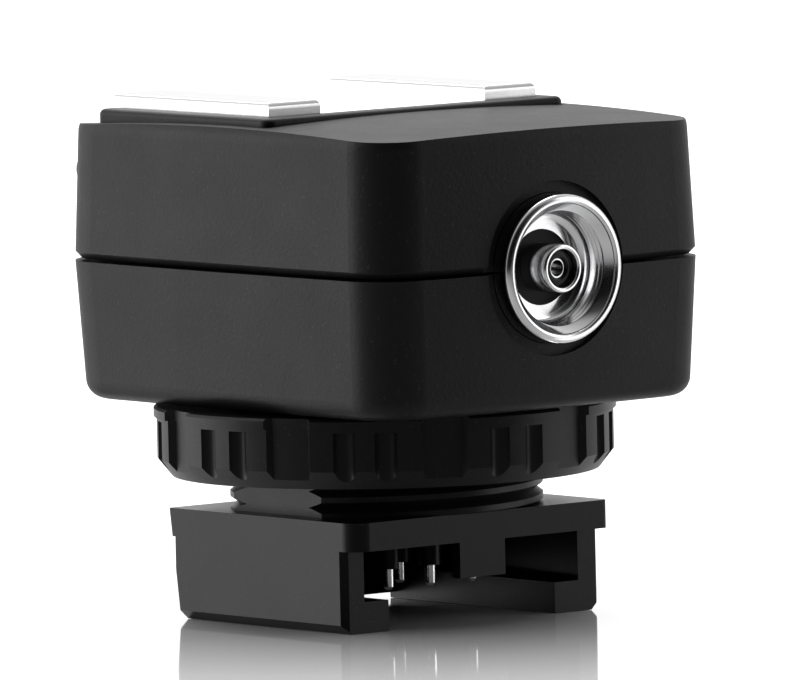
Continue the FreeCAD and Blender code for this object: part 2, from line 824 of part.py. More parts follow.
def bowed_outline(half_x, half_y, corner_cut=None):
    """Vertices of the housing's plan: four slightly bowed sides, with corners cut or sharp."""
    reach = half_y if corner_cut is None else half_y - corner_cut
    width = half_x if corner_cut is None else half_x - corner_cut
    bow_x, bow_y = dim.body_side_bulge, dim.body_front_bulge
    side = (reach * reach + bow_x * bow_x) / (bow_x * 2)
    front = (width * width + bow_y * bow_y) / (bow_y * 2)
    if corner_cut is None:
        return [(half_x, -half_y, side, 1), (half_x, half_y, front, 1),
                (-half_x, half_y, side, 1), (-half_x, -half_y, front, 1)]
    return [(half_x, -reach, side, 1), (half_x, reach),
            (width, half_y, front, 1), (-width, half_y),
            (-half_x, reach, side, 1), (-half_x, -reach),
            (-width, -half_y, front, 1), (width, -half_y)]


def inner_outline(inset):
    return bowed_outline(dim.body_half_width - inset, dim.body_half_depth - inset,
                         dim.inner_corner_cut)


def cut_sync_holes(body):
    """The recess round the sync terminal and the hole that it passes through."""
    start = dim.body_half_depth + 4
    face = dim.body_half_depth + dim.body_front_bulge
    recess = new_sketch(body, body.Label + "_sync_recess", "XZ_Plane", start)
    add_circle(recess, 0, dim.sync_height, dim.sync_recess_radius)
    pocket(body, recess, start - face + dim.sync_recess_depth)
    hole = new_sketch(body, body.Label + "_sync_hole", "XZ_Plane", start)
    add_circle(hole, 0, dim.sync_height, dim.sync_collar_radius + 0.04)
    pocket(body, hole, start - dim.body_half_depth + dim.wall_thickness + 2)


def round_corners(body):
    """Round the shell's four upright corners, the rear ones more than the front ones."""
    def front_corner(edge):
        return upright(edge) and edge.BoundBox.Center.y < 0

    def rear_corner(edge):
        return upright(edge) and edge.BoundBox.Center.y > 0

    dress(body, "Fillet", front_corner, dim.front_corner_radius)
    dress(body, "Fillet", rear_corner, dim.rear_corner_radius)


def build_lower_shell():
    body = new_body("lower_shell")
    depth = dim.parting_height - dim.body_bottom
    outside = new_sketch(body, "lower_outside", offset=dim.parting_height)
    add_outline(outside, bowed_outline(dim.body_half_width, dim.body_half_depth))
    pad(body, outside, depth, reverse=True, taper=-dim.lower_draft)
    round_corners(body)
    dress(body, "Fillet", flat_at(dim.body_bottom), dim.body_bottom_radius)
    inside = new_sketch(body, "lower_inside", offset=dim.parting_height)
    add_outline(inside, inner_outline(dim.wall_thickness + 0.3))
    pocket(body, inside, depth - dim.floor_thickness)
    floor = dim.body_bottom + dim.floor_thickness
    posts = new_sketch(body, "lower_posts", offset=floor - 0.2)
    for x, y in four_corners(dim.post_x, dim.post_y):
        add_circle(posts, x, y, dim.post_radius)
    pad(body, posts, dim.parting_height - floor + 0.2)
    pillars = new_sketch(body, "board_pillars", offset=floor - 0.2)
    for x, y in four_corners(dim.pillar_x, dim.pillar_y):
        add_circle(pillars, x, y, dim.pillar_radius)
    pad(body, pillars, dim.board_bottom - floor + 0.2)
    lip = new_sketch(body, "alignment_lip", offset=dim.parting_height - 1)
    inset = dim.wall_thickness + dim.alignment_lip_clearance
    add_outline(lip, inner_outline(inset))
    add_outline(lip, inner_outline(inset + dim.alignment_lip_width))
    pad(body, lip, dim.alignment_lip_height + 1)
    cut_sync_holes(body)
    front_wall = dim.body_half_depth + dim.body_front_bulge - dim.wall_thickness
    nut_room = new_sketch(body, "lower_nut_room", "XZ_Plane", front_wall)
    add_circle(nut_room, 0, dim.sync_height, dim.sync_nut_radius + 0.3)
    pocket(body, nut_room, 4)
    post_room = new_sketch(body, "upper_post_room", offset=dim.parting_height)
    for x, y in four_corners(dim.post_x, dim.post_y):
        add_circle(post_room, x, y, dim.post_radius + 0.1)
    pocket(body, post_room, dim.alignment_lip_height + 1, reverse=True)
    neck_hole = new_sketch(body, "neck_hole", offset=floor)
    add_circle(neck_hole, 0, 0, dim.neck_spigot_radius + 0.03)
    pocket(body, neck_hole, dim.floor_thickness + 1)
    screw_holes = new_sketch(body, "case_screw_holes", offset=dim.parting_height)
    for x, y in four_corners(dim.post_x, dim.post_y):
        add_circle(screw_holes, x, y, dim.case_screw_radius + 0.1)
    pocket(body, screw_holes, depth + 1)
    seats = new_sketch(body, "case_screw_seats", offset=dim.body_bottom)
    for x, y in four_corners(dim.post_x, dim.post_y):
        add_circle(seats, x, y, dim.case_screw_head_radius + 0.1)
    pocket(body, seats, dim.case_screw_seat, reverse=True)
    pilots = new_sketch(body, "board_screw_pilots", offset=dim.board_bottom)
    for x, y in four_corners(dim.pillar_x, dim.pillar_y):
        add_circle(pilots, x, y, dim.board_screw_radius)
    pocket(body, pilots, 1.6)
    place(body)


def build_upper_shell():
    body = new_body("upper_shell")
    bottom = dim.parting_height + dim.parting_gap
    outside = new_sketch(body, "upper_outside", offset=bottom)
    add_outline(outside, bowed_outline(dim.body_half_width, dim.body_half_depth))
    pad(body, outside, dim.body_top - bottom, taper=-dim.upper_draft)
    round_corners(body)
    dress(body, "Fillet", flat_at(dim.body_top), dim.body_top_radius)
    dress(body, "Chamfer", flat_at(bottom), dim.parting_chamfer)
    cut_crown(body)
    inside = new_sketch(body, "upper_inside", offset=bottom)
    add_outline(inside, inner_outline(dim.wall_thickness))
    pocket(body, inside, dim.roof_underside - bottom, reverse=True)
    front_room = new_sketch(body, "front_room", offset=dim.roof_underside)
    front_wall = dim.body_half_depth + dim.body_front_bulge - dim.wall_thickness
    half, margin = dim.front_room_half_width, dim.front_room_margin
    add_rectangle(front_room, -half, half, -front_wall + margin, -dim.frame_front - margin)
    pocket(body, front_room, dim.front_roof_underside - dim.roof_underside, reverse=True)
    posts = new_sketch(body, "upper_posts", offset=bottom)
    for x, y in four_corners(dim.post_x, dim.post_y):
        add_circle(posts, x, y, dim.post_radius)
    pad(body, posts, dim.roof_underside - bottom + 0.3)
    pilots = new_sketch(body, "upper_pilots", offset=bottom)
    for x, y in four_corners(dim.post_x, dim.post_y):
        add_circle(pilots, x, y, dim.case_screw_radius)
    pocket(body, pilots, dim.roof_underside - bottom - 0.5, reverse=True)
    cut_shoe_seats(body)
    cut_sync_holes(body)
    cut_button_hole(body)
    place(body)


def cut_crown(body):
    """Trim the top to a shallow spherical crown."""
    outside = new_sketch(body, "crown", "XZ_Plane")
    reach = dim.body_half_width * 2
    drop = Size(dim.crown_radius.value - math.sqrt(dim.crown_radius.value ** 2
                                                   - reach.value ** 2),
                f"({dim.crown_radius.text} - sqrt({dim.crown_radius.text} ^ 2"
                f" - {reach.text} ^ 2))")
    add_outline(outside, [(reach, dim.crown_height - drop, dim.crown_radius, 1),
                          (0, dim.crown_height), (0, dim.body_top + 1),
                          (reach, dim.body_top + 1)])
    revolve(body, outside, "PartDesign::Groove")


def cut_shoe_seats(body):
    """Seats for the raised frame, the shoe and its contact block, and the entry behind."""
    room = dim.frame_clearance
    high = dim.body_top + 1
    frame_seat = new_sketch(body, "frame_seat", offset=high)
    add_rectangle(frame_seat, -dim.frame_half_width - room, dim.frame_half_width + room,
                  -dim.frame_front - room, dim.frame_rear + room)
    pocket(body, frame_seat, high - dim.frame_seat)
    shoe_seat = new_sketch(body, "shoe_seat", offset=high)
    add_rectangle(shoe_seat, -dim.shoe_half_width - room, dim.shoe_half_width + room,
                  -dim.shoe_front - room, dim.shoe_rear + room)
    pocket(body, shoe_seat, high - dim.shoe_floor + dim.shoe_floor_thickness)
    entry = new_sketch(body, "shoe_entry", offset=high)
    add_rectangle(entry, -dim.entry_half_width, dim.entry_half_width,
                  dim.shoe_rear - 0.5, dim.body_half_depth + 2)
    pocket(body, entry, high - dim.shoe_floor + 0.05)
    contact_seat = new_sketch(body, "contact_seat", offset=dim.shoe_floor)
    half = dim.contact_block_half_width + room
    add_rectangle(contact_seat, -half, half, dim.contact_block_front - room,
                  dim.contact_block_rear + room)
    pocket(body, contact_seat, dim.shoe_floor - dim.roof_underside + 1)
    screws = new_sketch(body, "shoe_screw_pilots", offset=dim.shoe_floor)
    for x, y in shoe_screw_positions():
        add_circle(screws, x, y, dim.shoe_screw_radius)
    pocket(body, screws, dim.shoe_floor - dim.roof_underside + 1)


def oblong(sketch, x, y, half_width, half_height):
    """A slot shape with round ends."""
    left, right = x - half_width + half_height, x + half_width - half_height
    add_outline(sketch, [(left, y - half_height), (right, y - half_height, half_height * 1.0001, 1),
                         (right, y + half_height), (left, y + half_height, half_height * 1.0001, 1)])


def cut_button_hole(body):
    """The oblong hole in the rear wall for the test button."""
    hole = new_sketch(body, "button_hole", "XZ_Plane", -dim.body_half_depth - 4)
    room = dim.button_clearance
    oblong(hole, dim.button_x, dim.button_height,
           dim.button_half_width + room, dim.button_half_height + room)
    pocket(body, hole, dim.body_half_depth + 4 - dim.button_pocket, reverse=True)


def build_case_screws():
    """Four screws from below, through the lower shell's posts into the upper shell."""
    seat = dim.body_bottom + dim.case_screw_seat
    screws = []
    for number, (x, y) in enumerate(four_corners(dim.post_x, dim.post_y)):
        head = cylinder(f"case_screw_head_{number}", dim.case_screw_head_radius,
                        dim.case_screw_head_height, x, y, seat - dim.case_screw_head_height)
        shank = cylinder(f"case_screw_shank_{number}", dim.case_screw_radius * 0.95,
                         dim.case_screw_length, x, y, seat - 0.1)
        screws.append(fuse(f"case_screw_{number}", [head, shank]))
    gather("case_screws", screws)


# ---- accessory shoe ----

def build_shoe_frame():
    """The raised frame round the shoe, open towards the rear where a flash slides in."""
    body = new_body("shoe_frame")
    plate = new_sketch(body, "frame_plate", offset=dim.frame_seat)
    add_rectangle(plate, -dim.frame_half_width, dim.frame_half_width,
                  -dim.frame_front, dim.frame_rear)
    pad(body, plate, dim.frame_top - dim.frame_seat)
    dress(body, "Fillet", upright, dim.frame_edge_radius * 2)
    dress(body, "Fillet", flat_at(dim.frame_top), dim.frame_edge_radius)
    opening = new_sketch(body, "frame_opening", offset=dim.frame_top)
    room = dim.frame_clearance
    add_rectangle(opening, -dim.shoe_half_width - room, dim.shoe_half_width + room,
                  -dim.shoe_front - room, dim.frame_rear + 1)
    pocket(body, opening, dim.frame_top - dim.frame_seat + 1)
    place(body)


def build_hot_shoe():
    """The bright metal shoe: a folded channel with closed front ends on its rails."""
    body = new_body("hot_shoe")
    length = dim.shoe_front + dim.shoe_rear
    section = new_sketch(body, "shoe_section", "XZ_Plane", dim.shoe_front)
    outer, inner, gap = dim.shoe_half_width, dim.shoe_wall_inner, dim.shoe_gap_half_width
    bottom = dim.shoe_floor - dim.shoe_floor_thickness
    under = dim.shoe_top - dim.shoe_flange_thickness
    add_outline(section, [(-outer, bottom), (outer, bottom), (outer, dim.shoe_top),
                          (gap, dim.shoe_top), (gap, under), (inner, under),
                          (inner, dim.shoe_floor), (-inner, dim.shoe_floor), (-inner, under),
                          (-gap, under), (-gap, dim.shoe_top), (-outer, dim.shoe_top)])
    pad(body, section, length, reverse=True)

    def rail_top(edge):
        return flat_at(dim.shoe_top)(edge)

    dress(body, "Fillet", rail_top, dim.shoe_edge_radius)
    ends = new_sketch(body, "shoe_ends", "XZ_Plane", dim.shoe_front)
    for side in (-1, 1):
        near, far = gap * side, (inner + 0.2) * side
        left, right = (near, far) if side > 0 else (far, near)
        add_rectangle(ends, left, right, dim.shoe_floor - 0.2, under + 0.2)
    pad(body, ends, dim.shoe_end_wall, reverse=True)
    window = new_sketch(body, "contact_window", offset=dim.shoe_floor)
    half = dim.contact_block_half_width + dim.frame_clearance
    add_rectangle(window, -half, half, dim.contact_block_front - dim.frame_clearance,
                  dim.contact_block_rear + dim.frame_clearance)
    pocket(body, window, dim.shoe_floor_thickness + 1)
    holes = new_sketch(body, "shoe_screw_holes", offset=dim.shoe_floor)
    for x, y in shoe_screw_positions():
        add_circle(holes, x, y, dim.shoe_screw_head_radius + 0.05)
    pocket(body, holes, dim.shoe_floor_thickness + 1)
    place(body)


def shoe_screw_positions():
    x = dim.shoe_screw_x
    return [(x, dim.shoe_screw_front), (-x, dim.shoe_screw_front),
            (-x, dim.shoe_screw_rear), (x, dim.shoe_screw_rear)]


def build_shoe_screws():
    """Four flush screws in the shoe's floor."""
    bottom = dim.shoe_floor - dim.shoe_floor_thickness
    screws = []
    for number, (x, y) in enumerate(shoe_screw_positions()):
        head = cylinder(f"shoe_screw_head_{number}", dim.shoe_screw_head_radius,
                        dim.shoe_floor_thickness - 0.1, x, y, bottom)
        shank = cylinder(f"shoe_screw_shank_{number}", dim.shoe_screw_radius * 0.95, 1.2,
                         x, y, bottom - 1.1)
        screws.append(fuse(f"shoe_screw_{number}", [head, shank]))
    gather("shoe_screws", screws)


def build_leaf_springs():
    """Two bowed leaves along the slot that press a flash's foot up against the rails."""
    body = new_body("shoe_leaf_springs")
    profile = new_sketch(body, "leaf_profile", "YZ_Plane", dim.leaf_inner)
    front, rear = dim.shoe_screw_front + 2, dim.shoe_screw_rear - 2
    half = (rear - front) / 2
    middle = (rear + front) / 2
    low, high = dim.shoe_floor, dim.shoe_floor + dim.leaf_thickness
    bow = (half * half + dim.leaf_rise * dim.leaf_rise) / (dim.leaf_rise * 2)
    add_outline(profile, [(middle + half, low), (middle + half, high, bow, 1),
                          (middle - half, high), (middle - half, low, bow, -1)])
    leaf = pad(body, profile, dim.leaf_width)
    mirror = body.newObject("PartDesign::Mirrored", "second_leaf")
    plane = next(item for item in body.Origin.OriginFeatures if item.Role == "YZ_Plane")
    mirror.Originals = [leaf]
    mirror.MirrorPlane = (plane, [""])
    finish_feature(body, mirror)
    place(body)


def build_contact_block():
    """The insulating block in the slot's floor, with a well for each contact."""
    body = new_body("shoe_contact_block")
    section = new_sketch(body, "contact_block_section", offset=dim.contact_block_bottom)
    half = dim.contact_block_half_width
    add_rectangle(section, -half, half, dim.contact_block_front, dim.contact_block_rear)
    add_circle(section, 0, dim.shoe_contact_y, dim.shoe_contact_radius + dim.pin_clearance)
    for side in (-1, 1):
        add_circle(section, dim.small_contact_x * side, dim.small_contact_y,
                   dim.small_contact_radius + 0.02)
    pad(body, section, dim.shoe_floor - dim.contact_block_bottom)
    place(body)


def contact_button(name, radius, x, y):
    """A domed contact that stands a little above the slot's floor."""
    body = new_body(name)
    profile = new_sketch(body, name + "_profile", "XZ_Plane")
    bottom = dim.contact_block_bottom + 0.6
    top = dim.shoe_floor + dim.contact_stand
    add_outline(profile, [(0, bottom), (radius, bottom), (radius, top - radius * 0.4),
                          (radius * 0.55, top), (0, top)])
    revolve(body, profile)
    place(body, x, y, 0)


def build_shoe_contacts():
    contact_button("shoe_centre_contact", dim.shoe_contact_radius, as_size(0),
                   dim.shoe_contact_y)
    for name, side in (("shoe_contact_left", -1), ("shoe_contact_right", 1)):
        contact_button(name, dim.small_contact_radius, dim.small_contact_x * side,
                       dim.small_contact_y)


# ---- sync terminal, turned about its own axis and laid along -Y ----

def place_on_sync_axis(body):
    """Stand the piece's own +Z along -Y, with its zero at the front face of the housing."""
    face = dim.body_half_depth + dim.body_front_bulge
    place(body, 0, -face, dim.sync_height, axis=(1, 0, 0), degrees=90)


def turned_sync_piece(name, vertices):
    body = new_body(name)
    profile = new_sketch(body, name + "_profile", "XZ_Plane")
    add_outline(profile, vertices)
    revolve(body, profile)
    place_on_sync_axis(body)
    return body


def build_sync_terminal():
    front = dim.sync_stand
    back = front - dim.sync_length
    outer, rim = dim.sync_collar_radius, dim.sync_rim_inner_radius
    thread, base = dim.sync_thread_radius, dim.sync_base_radius
    floor = front - dim.sync_floor_depth
    turned_sync_piece("sync_collar", [
        (base, back), (outer, back), (outer, front - 0.3), (outer - 0.3, front),
        (rim, front), (thread, front - dim.sync_rim_depth),
        (thread, front - dim.sync_thread_depth), (base + 0.5, floor), (base, floor)])
    tube, bore = dim.sync_tube_radius, dim.sync_tube_bore
    tip = front - dim.sync_tube_setback
    turned_sync_piece("sync_tube", [
        (bore, back - 0.4), (tube, back - 0.4), (tube, tip - 0.1), (tube - 0.1, tip),
        (bore, tip)])
    inner = front - dim.sync_insulator_setback
    pin = dim.sync_contact_radius
    turned_sync_piece("sync_insulator", [
        (pin, back - 0.4), (bore - 0.01, back - 0.4), (bore - 0.01, inner), (pin, inner)])
    turned_sync_piece("sync_base_washer", [
        (tube + 0.01, back), (base - 0.01, back), (base - 0.01, floor - 0.2),
        (tube + 0.01, floor - 0.2)])
    turned_sync_piece("sync_centre_contact", [
        (0, back - 0.8), (pin - 0.01, back - 0.8), (pin - 0.01, inner - 0.15),
        (dim.sync_contact_bore, inner - 0.15), (dim.sync_contact_bore, back + 1.6),
        (0, back + 1.6)])
    wall_back = -dim.wall_thickness - 0.35
    nut = dim.sync_nut_radius
    turned_sync_piece("sync_nut", [
        (outer + 0.01, wall_back - dim.sync_nut_thickness),
        (nut, wall_back - dim.sync_nut_thickness), (nut, wall_back), (outer + 0.01, wall_back)])


# ---- test button and circuit board ----

def build_test_button():
    """The oblong test button in the rear wall, with the tab that keeps it in."""
    body = new_body("test_button")
    face = new_sketch(body, "button_face", "XZ_Plane", -dim.button_front)
    oblong(face, dim.button_x, dim.button_height, dim.button_half_width, dim.button_half_height)
    pad(body, face, dim.button_front - dim.button_inner)

    def front_rim(edge):
        box = edge.BoundBox
        return abs(box.YMin - dim.button_front.value) < 1e-3 and box.YLength < 1e-3

    dress(body, "Fillet", front_rim, dim.button_edge_radius)
    web = new_sketch(body, "button_web", "XZ_Plane", -dim.button_inner - 0.2)
    left, right = (dim.button_x - dim.button_tab_half_width,
                   dim.button_x + dim.button_tab_half_width)
    web_bottom = dim.button_height - dim.button_half_height + 0.05
    add_rectangle(web, left, right, web_bottom, dim.button_tab_top)
    pad(body, web, dim.button_inner + 0.2 - dim.button_tab_inner)
    tab = new_sketch(body, "button_tab", "XZ_Plane",
                     -dim.button_tab_inner - dim.button_tab_thickness)
    add_rectangle(tab, left, right, dim.button_tab_bottom, dim.button_tab_top)
    pad(body, tab, dim.button_tab_thickness)
    place(body)


def build_circuit_board():
    """The board on its pillars, with notches beside the corner posts and a wire hole."""
    body = new_body("circuit_board")
    plan = new_sketch(body, "board_plan", offset=dim.board_bottom)
    wide, waist = dim.board_half_width, dim.board_waist
    shoulder, deep = dim.board_shoulder, dim.board_half_depth
    add_outline(plan, [(wide, -shoulder), (wide, shoulder), (waist, shoulder), (waist, deep),
                       (-waist, deep), (-waist, shoulder), (-wide, shoulder),
                       (-wide, -shoulder), (-waist, -shoulder), (-waist, -deep),
                       (waist, -deep), (waist, -shoulder)])
    for x, y in four_corners(dim.pillar_x, dim.pillar_y):
        add_circle(plan, x, y, dim.board_screw_radius + 0.05)
    pad(body, plan, dim.board_thickness)
    place(body)
    top = dim.board_bottom + dim.board_thickness
    screws = []
    for number, (x, y) in enumerate(four_corners(dim.pillar_x, dim.pillar_y)):
        head = cylinder(f"board_screw_head_{number}", dim.board_screw_head_radius,
                        dim.board_screw_head_height, x, y, top)
        shank = cylinder(f"board_screw_shank_{number}", dim.board_screw_radius * 0.95, 2.4,
                         x, y, top - 2.3)
        screws.append(fuse(f"board_screw_{number}", [head, shank]))
    gather("board_screws", screws)


def build_board_parts():
    """What stands on the board: the trigger chip, a thyristor, a coil and a capacitor."""
    top = dim.board_bottom + dim.board_thickness
    gather("board_parts", [
        box("trigger_chip", -4.5, 1.5, -3.0, 2.0, top, top + 1.4),
        box("thyristor", 4.0, 7.5, -6.5, -1.5, top, top + 2.2),
        cylinder("capacitor", 2.4, 6.0, 5.0, 5.6, top),
        cylinder("coil", 2.0, 3.0, -6.6, -7.4, top),
    ])


def build_test_switch():
    """The upright card behind the button, its switch, and the plunger that the tab presses."""
    top = dim.board_bottom + dim.board_thickness
    card = box("switch_card_plate", dim.button_x - 2.6, dim.button_x + 2.6,
               dim.switch_rear - 0.8, dim.switch_rear, top, dim.button_tab_top - 0.7)
    gather("switch_card", [card])
    height = (dim.button_tab_bottom + dim.button_tab_top) / 2
    case = box("switch_case", dim.button_x - 1.2, dim.button_x + 1.2, dim.switch_rear,
               dim.switch_front, height - 1.1, height + 1.1)
    well = lying_cylinder("switch_well", dim.plunger_radius + dim.button_clearance,
                          dim.switch_rear + 0.3, dim.switch_front + 1, dim.button_x, height)
    gather("test_switch", [cut("switch_shell", case, well)])
    plunger = lying_cylinder("plunger_rod", dim.plunger_radius, dim.switch_rear + 1.2,
                             dim.button_tab_inner - 0.05, dim.button_x, height)
    gather("switch_plunger", [plunger])


def build_sync_leads():
    """Two strips that join the sync terminal to the board."""
    top = dim.board_bottom + dim.board_thickness
    face = dim.body_half_depth + dim.body_front_bulge
    back = -face - dim.sync_stand + dim.sync_length + 0.8
    contact = box("contact_strip", -0.6, 0.6, back, back + 0.3, top, dim.sync_height + 0.7)
    edge = -dim.board_half_depth
    shell = box("shell_strip", 2.6, 3.8, edge - 0.85, edge, top - 0.6, top + 0.2)
    gather("sync_leads", [contact, shell])


def build_all():
    build_foot()
    build_pin_carrier()
    for name, x, y in pin_positions():
        build_contact_pin(name, x, y)
        build_pin_spring(name.replace("contact_pin", "pin_spring"), x, y)
    build_signal_wires()
    build_foot_screws()
    build_neck()
    build_ring()
    build_washer()
    build_neck_clamp()
    build_lower_shell()
    build_upper_shell()
    build_case_screws()
    build_shoe_frame()
    build_hot_shoe()
    build_shoe_screws()
    build_leaf_springs()
    build_contact_block()
    build_shoe_contacts()
    build_sync_terminal()
    build_test_button()
    build_circuit_board()
    build_board_parts()
    build_test_switch()
    build_sync_leads()


def check_document():
    """Stop before anything is written if an object failed or a sub-part is not sound."""
    for item in DOC.Objects:
        if "Invalid" in item.State or "Error" in item.State:
            raise RuntimeError(f"{item.Label} failed: {item.State}")
    for part in SUB_PARTS:
        if part.Shape.isNull() or not part.Shape.isValid() or part.Shape.Volume <= 0:
            raise RuntimeError(f"{part.Label} is not a sound solid")


def write_parts():
    os.makedirs("parts", exist_ok=True)
    for part in SUB_PARTS:
        part.Shape.exportStep(f"parts/{part.Label}.step")
        limits = part.Shape.BoundBox
        print(f"{part.Label:22s} solids {len(part.Shape.Solids)} volume {part.Shape.Volume:9.2f}"
              f"  x {limits.XMin:7.2f} {limits.XMax:7.2f}  y {limits.YMin:7.2f} {limits.YMax:7.2f}"
              f"  z {limits.ZMin:7.2f} {limits.ZMax:7.2f}")


build_all()
DOC.recompute()
check_document()
write_parts()
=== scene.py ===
"""Looks of a hot-shoe flash trigger: finishes, turned metal parts, lamps, floor and camera."""
import math

import bmesh
import bpy
from mathutils import Matrix, Vector


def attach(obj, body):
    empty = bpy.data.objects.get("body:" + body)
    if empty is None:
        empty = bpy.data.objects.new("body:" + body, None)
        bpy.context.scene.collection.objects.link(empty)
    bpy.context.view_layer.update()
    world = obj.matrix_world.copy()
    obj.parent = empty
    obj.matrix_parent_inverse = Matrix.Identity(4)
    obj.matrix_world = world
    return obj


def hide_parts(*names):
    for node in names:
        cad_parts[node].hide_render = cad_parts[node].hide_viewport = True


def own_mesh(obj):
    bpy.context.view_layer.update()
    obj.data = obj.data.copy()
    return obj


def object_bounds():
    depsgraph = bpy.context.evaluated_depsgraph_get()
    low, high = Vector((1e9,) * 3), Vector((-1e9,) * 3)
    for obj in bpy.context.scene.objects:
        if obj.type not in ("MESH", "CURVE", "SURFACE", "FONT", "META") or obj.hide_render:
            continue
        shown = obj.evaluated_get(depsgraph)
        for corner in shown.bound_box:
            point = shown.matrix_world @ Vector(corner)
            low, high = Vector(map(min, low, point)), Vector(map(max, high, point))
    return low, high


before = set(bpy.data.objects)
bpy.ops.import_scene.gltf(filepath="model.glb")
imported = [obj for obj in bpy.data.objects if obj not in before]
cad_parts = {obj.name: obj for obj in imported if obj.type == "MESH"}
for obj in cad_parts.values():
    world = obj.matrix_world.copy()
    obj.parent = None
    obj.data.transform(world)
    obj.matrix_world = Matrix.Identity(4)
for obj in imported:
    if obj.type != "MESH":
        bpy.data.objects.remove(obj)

bl_info = {
    "name": "Flash trigger",
    "version": (1, 0, 0),
    "blender": (4, 5, 0),
    "location": "3D View > Sidebar > Flash Trigger",
    "description": "Finishes, metal parts, lamps and camera of a hot-shoe flash trigger",
    "category": "Object",
}

CAD_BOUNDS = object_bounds()
MM = 0.001
# the sync terminal's own frame: zero on the housing's front face, +Z outward
SYNC_AXIS = Matrix.Translation((0.0, -0.0167, 0.022)) @ Matrix.Rotation(math.pi / 2, 4, "X")
SENSOR_WIDTH = 36.0
# how much the plastic's gloss varies from place to place
CLOUD_GLOSS = 0.1
# the foot pins' coils: where each stands and how big it is, in millimetres
PIN_PLACES = {"left": (-3.3, -4.0), "middle": (0.0, -4.0), "right": (3.3, -4.0),
              "rear": (0.0, -1.1)}
COIL_BOTTOM, COIL_TOP = 6.21, 8.8
COIL_RADIUS, COIL_WIRE, COIL_TURNS = 0.36, 0.085, 7
# how bright the studio's walls are in reflections, from the camera's side to the far side
STUDIO_WALLS = [(0.16, 0.005), (0.26, 0.05), (0.35, 0.38), (0.5, 0.6), (0.68, 0.95), (0.9, 1.15)]


# ---- sizes and colours that a user would change ----

def colour(name, description, default):
    return bpy.props.FloatVectorProperty(
        name=name, description=description, default=default, subtype="COLOR", size=3,
        min=0.0, max=1.0)


def length(name, description, default):
    return bpy.props.FloatProperty(
        name=name, description=description, default=default, subtype="DISTANCE", unit="LENGTH",
        precision=5, min=0.0)


def factor(name, description, default, high=1.0):
    return bpy.props.FloatProperty(
        name=name, description=description, default=default, min=0.0, max=high)


class PlasticSettings(bpy.types.PropertyGroup):
    """Colours, gloss and grain of the moulded pieces."""
    shell_colour: colour("Shell", "Colour of the housing", (0.0045, 0.0045, 0.0048))
    ring_colour: colour("Ring", "Colour of the locking ring and neck", (0.0062, 0.0062, 0.0066))
    foot_colour: colour("Foot", "Colour of the camera foot", (0.003, 0.003, 0.0032))
    shell_roughness: factor("Shell roughness", "Roughness of the housing", 0.46)
    ring_roughness: factor("Ring roughness", "Roughness of the ring", 0.36)
    foot_roughness: factor("Foot roughness", "Roughness of the foot", 0.31)
    grain_size: length("Grain size", "Size of the housing's moulded grain", 0.00022)
    grain_depth: length("Grain depth", "Depth of the housing's moulded grain", 0.000016)


class MetalSettings(bpy.types.PropertyGroup):
    """Colours and gloss of the metal pieces."""
    chrome_colour: colour("Chrome", "Colour of the shoe and terminal", (0.82, 0.82, 0.83))
    steel_colour: colour("Steel", "Colour of screws and springs", (0.52, 0.52, 0.53))
    brass_colour: colour("Brass", "Colour of the leads", (0.72, 0.53, 0.24))
    chrome_roughness: factor("Chrome roughness", "Roughness of the plated metal", 0.12)
    steel_roughness: factor("Steel roughness", "Roughness of screws and springs", 0.32)


class StudioSettings(bpy.types.PropertyGroup):
    """Camera and lamps."""
    view_azimuth: bpy.props.FloatProperty(
        name="Azimuth", description="Camera's turn from the front, in degrees", default=-39.435)
    view_elevation: bpy.props.FloatProperty(
        name="Elevation", description="Camera's height above level, in degrees", default=4.762)
    view_roll: bpy.props.FloatProperty(
        name="Roll", description="Camera's roll, in degrees", default=-1.284)
    view_distance: length("Distance", "Camera's distance from its target", 0.9777)
    lens: bpy.props.FloatProperty(
        name="Lens", description="Focal length in millimetres", default=720.2)
    target_aside: bpy.props.FloatProperty(
        name="Target aside", description="Target's offset along the picture", default=0.001022,
        unit="LENGTH")
    target_height: length("Target height", "Height of the target", 0.016796)
    left_lamp: factor("Left lamp", "Power of the large left lamp in watts", 1.6, 200.0)
    right_lamp: factor("Right lamp", "Power of the right lamp in watts", 0.5, 200.0)
    top_lamp: factor("Top lamp", "Power of the overhead lamp in watts", 3.6, 200.0)
    floor_colour: colour("Floor", "Colour of the table", (0.94, 0.94, 0.94))
    table_mirror: factor("Table mirror", "How much the table mirrors", 0.42)
    # painted light: the table's glow for camera rays, held back near the object as a painted
    # shadow
    table_glow: factor("Table glow", "Brightness added to the table away from the object", 0.5)
    glow_start: length("Glow start", "Distance at which the table starts to glow", 0.009)
    glow_width: length("Glow width", "Distance over which the table's glow rises", 0.045)


# ---- node building ----

class Signal:
    """A shader value. Arithmetic on it adds Math nodes to its finish."""

    def __init__(self, finish, socket):
        self.finish = finish
        self.socket = socket

    def math(self, operation, *values):
        node = self.finish.node("ShaderNodeMath", {"operation": operation}, *values)
        return Signal(self.finish, node.outputs[0])

    def __add__(self, other):
        return self.math("ADD", self, other)

    def __sub__(self, other):
        return self.math("SUBTRACT", self, other)

    def __rsub__(self, other):
        return self.math("SUBTRACT", other, self)

    def __mul__(self, other):
        return self.math("MULTIPLY", self, other)

    def clamped(self):
        return self.math("MINIMUM", self.math("MAXIMUM", self, 0.0), 1.0)


